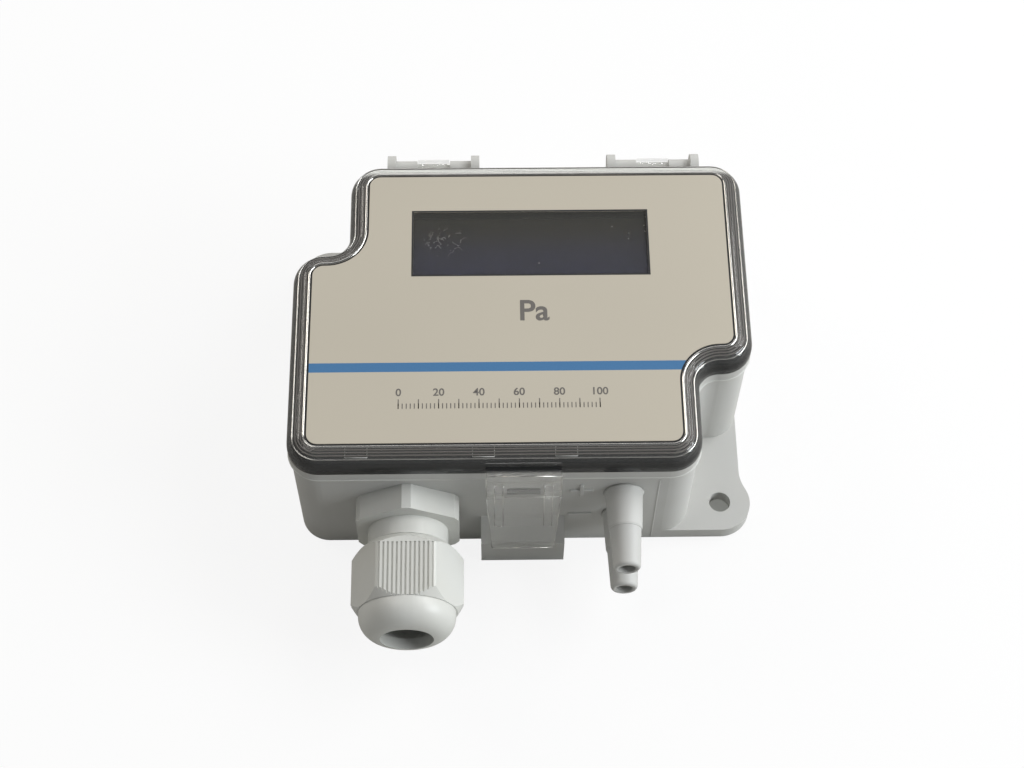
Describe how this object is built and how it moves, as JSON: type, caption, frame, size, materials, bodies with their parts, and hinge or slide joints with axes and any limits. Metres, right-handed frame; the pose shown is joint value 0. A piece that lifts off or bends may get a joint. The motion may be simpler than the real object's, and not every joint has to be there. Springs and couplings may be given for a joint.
{
  "type": "differential pressure transmitter",
  "caption": "Wall-mounted differential pressure transmitter: notched case, clear hinged lid with display window, cable gland and two hose ports.",
  "frame": {"origin": "centre of the case outline on its back face, which lies on the surface", "axes": "+Z out of the back towards the face label, +Y towards the hinges, cable gland and ports leave along -Y"},
  "size_m": [0.092, 0.0997, 0.036],
  "materials": {
    "case_plastic": "light grey moulded ABS, fine texture",
    "clear_plastic": "clear polycarbonate, polished",
    "label_film": "warm grey printed film",
    "dark_rubber": "dark elastomer",
    "gland_plastic": "light grey polyamide, satin",
    "board_laminate": "green solder mask",
    "steel": "zinc plated",
    "frame_metal": "dark plated sheet",
    "display_dark": "dark display glass",
    "terminal_plastic": "green moulded",
    "black_plastic": "black moulded",
    "hose_silicone": "milky silicone",
    "aluminium_can": "drawn can",
    "sensor_plastic": "pale moulded"
  },
  "bodies": {
    "root": {"base_housing": "case_plastic", "gland_body": "gland_plastic", "gland_lock_nut": "gland_plastic", "circuit_board": "board_laminate", "board_screws": "steel", "display_board": "board_laminate", "display_frame": "frame_metal", "display_glass": "display_dark", "display_spacers": "black_plastic", "display_header": "black_plastic", "jumper_header": "black_plastic", "jumper_cap": "black_plastic", "microcontroller": "black_plastic", "smoothing_capacitor": "aluminium_can", "voltage_regulator": "black_plastic", "terminal_block": "terminal_plastic", "button_switches": "black_plastic", "pressure_sensor": "sensor_plastic", "hose_plus": "hose_silicone", "hose_minus": "hose_silicone"},
    "lid": {"lid_cover": "clear_plastic", "face_label": "label_film", "lid_seal": "dark_rubber"},
    "gland_sleeve": {"gland_seal": "dark_rubber"},
    "dome_nut": {"gland_dome_nut": "gland_plastic"},
    "button_down": {"button_down": "black_plastic"},
    "button_select": {"button_select": "black_plastic"},
    "button_up": {"button_up": "black_plastic"},
    "terminal_screw_1": {"terminal_screw_1": "steel"},
    "terminal_cage_1": {"terminal_cage_1": "steel"},
    "terminal_screw_2": {"terminal_screw_2": "steel"},
    "terminal_cage_2": {"terminal_cage_2": "steel"},
    "terminal_screw_3": {"terminal_screw_3": "steel"},
    "terminal_cage_3": {"terminal_cage_3": "steel"},
    "terminal_screw_4": {"terminal_screw_4": "steel"},
    "terminal_cage_4": {"terminal_cage_4": "steel"}
  },
  "joints": [
    {"name": "lid_hinge", "type": "hinge", "parent": "root", "child": "lid", "pos_m": [0, 0.0363, 0.0291], "axis": [-1, 0, 0], "range_deg": [0, 110]},
    {"name": "gland_sleeve_slide", "type": "slide", "parent": "root", "child": "gland_sleeve", "axis": [0, -1, 0], "range_m": [0, 0.003]},
    {"name": "dome_nut_turn", "type": "hinge", "parent": "gland_sleeve", "child": "dome_nut", "pos_m": [-0.02225, -0.05, 0.015], "axis": [0, -1, 0], "range_deg": [0, 720]},
    {"name": "button_down_press", "type": "slide", "parent": "root", "child": "button_down", "axis": [0, 0, -1], "range_m": [0, 0.00025], "stiffness_N_per_m": 1500, "springref_m": -0.0005},
    {"name": "button_select_press", "type": "slide", "parent": "root", "child": "button_select", "axis": [0, 0, -1], "range_m": [0, 0.00025], "stiffness_N_per_m": 1500, "springref_m": -0.0005},
    {"name": "button_up_press", "type": "slide", "parent": "root", "child": "button_up", "axis": [0, 0, -1], "range_m": [0, 0.00025], "stiffness_N_per_m": 1500, "springref_m": -0.0005},
    {"name": "terminal_screw_1_turn", "type": "hinge", "parent": "root", "child": "terminal_screw_1", "pos_m": [-0.02987, -0.013, 0.01755], "axis": [0, 0, -1], "range_deg": [0, 960]},
    {"name": "terminal_cage_1_rise", "type": "slide", "parent": "root", "child": "terminal_cage_1", "axis": [0, 0, 1], "range_m": [0, 0.0012]},
    {"name": "terminal_screw_2_turn", "type": "hinge", "parent": "root", "child": "terminal_screw_2", "pos_m": [-0.02479, -0.013, 0.01755], "axis": [0, 0, -1], "range_deg": [0, 960]},
    {"name": "terminal_cage_2_rise", "type": "slide", "parent": "root", "child": "terminal_cage_2", "axis": [0, 0, 1], "range_m": [0, 0.0012]},
    {"name": "terminal_screw_3_turn", "type": "hinge", "parent": "root", "child": "terminal_screw_3", "pos_m": [-0.01971, -0.013, 0.01755], "axis": [0, 0, -1], "range_deg": [0, 960]},
    {"name": "terminal_cage_3_rise", "type": "slide", "parent": "root", "child": "terminal_cage_3", "axis": [0, 0, 1], "range_m": [0, 0.0012]},
    {"name": "terminal_screw_4_turn", "type": "hinge", "parent": "root", "child": "terminal_screw_4", "pos_m": [-0.01463, -0.013, 0.01755], "axis": [0, 0, -1], "range_deg": [0, 960]},
    {"name": "terminal_cage_4_rise", "type": "slide", "parent": "root", "child": "terminal_cage_4", "axis": [0, 0, 1], "range_m": [0, 0.0012]}
  ],
  "couplings": [
    {"joint": "dome_nut_turn", "follows": "gland_sleeve_slide", "rad_per_m": 4188.8},
    {"joint": "terminal_screw_1_turn", "follows": "terminal_cage_1_rise", "rad_per_m": 13963},
    {"joint": "terminal_screw_2_turn", "follows": "terminal_cage_2_rise", "rad_per_m": 13963},
    {"joint": "terminal_screw_3_turn", "follows": "terminal_cage_3_rise", "rad_per_m": 13963},
    {"joint": "terminal_screw_4_turn", "follows": "terminal_cage_4_rise", "rad_per_m": 13963}
  ]
}
